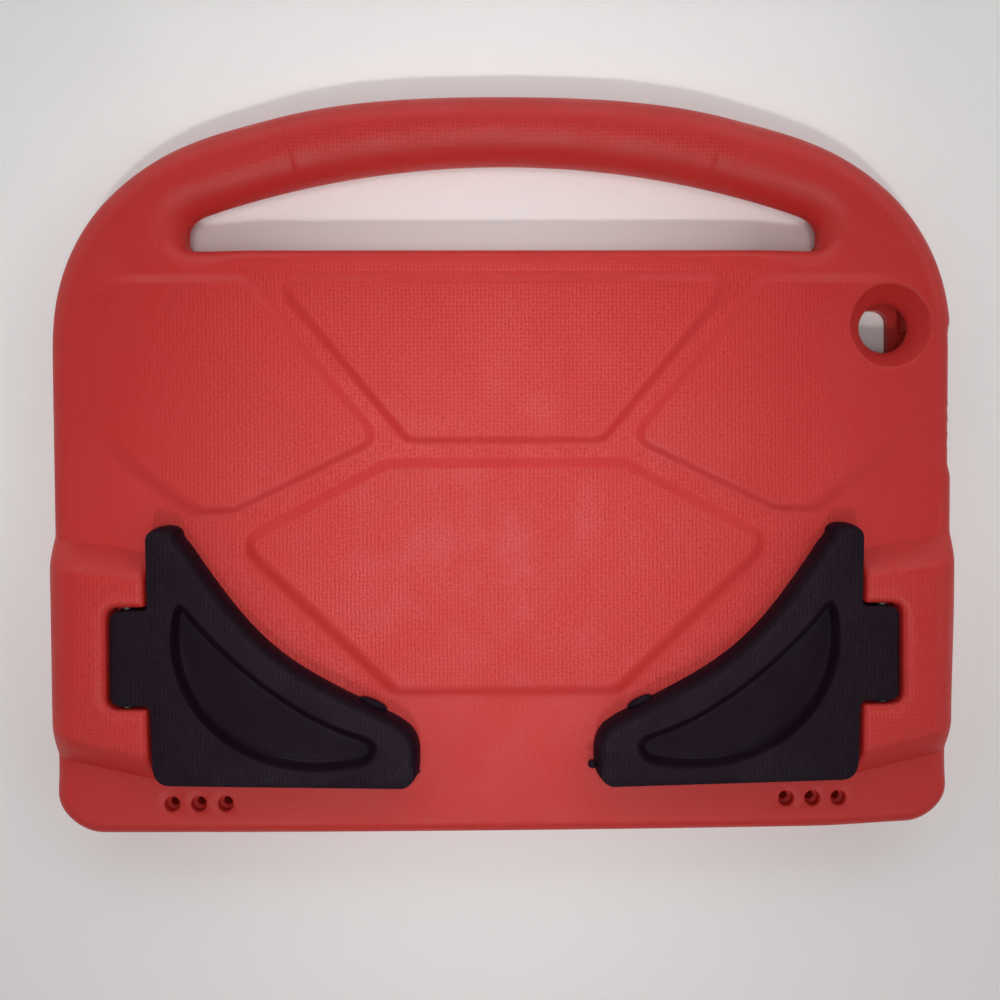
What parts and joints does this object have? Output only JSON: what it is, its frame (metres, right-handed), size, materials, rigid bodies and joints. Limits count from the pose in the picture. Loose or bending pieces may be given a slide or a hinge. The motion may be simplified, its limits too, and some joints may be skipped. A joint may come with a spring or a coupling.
{
  "type": "kids tablet case with handle",
  "caption": "Padded foam case for a flat tablet, with a wide carry handle across the top and folding stand feet hinged to its lower corners.",
  "frame": {"origin": "bottom centre of the case's box, on the plane that the front lip lies on", "axes": "+X across the case towards the camera hole's side, +Y up the case towards the handle, +Z through its thickness out of the back"},
  "size_m": [0.2671, 0.2198, 0.0265],
  "materials": {
    "red_foam": "matte moulded EVA foam with a fine weave texture on its raised fields",
    "black_foam": "matte moulded EVA foam with a fine ribbed texture",
    "pin_steel": "plain bright rod"
  },
  "bodies": {
    "case": {"foam_body": "red_foam", "left_hinge_pin": "pin_steel", "right_hinge_pin": "pin_steel"},
    "left_foot": {"left_stand_foot": "black_foam"},
    "right_foot": {"right_stand_foot": "black_foam"}
  },
  "joints": [
    {"name": "left_foot_hinge", "type": "hinge", "parent": "case", "child": "left_foot", "pos_m": [-0.10975, -0.05597, 0.02265], "axis": [0, -1, 0], "range_deg": [0, 90]},
    {"name": "right_foot_hinge", "type": "hinge", "parent": "case", "child": "right_foot", "pos_m": [0.10975, -0.05597, 0.02265], "axis": [0, 1, 0], "range_deg": [0, 90]}
  ]
}
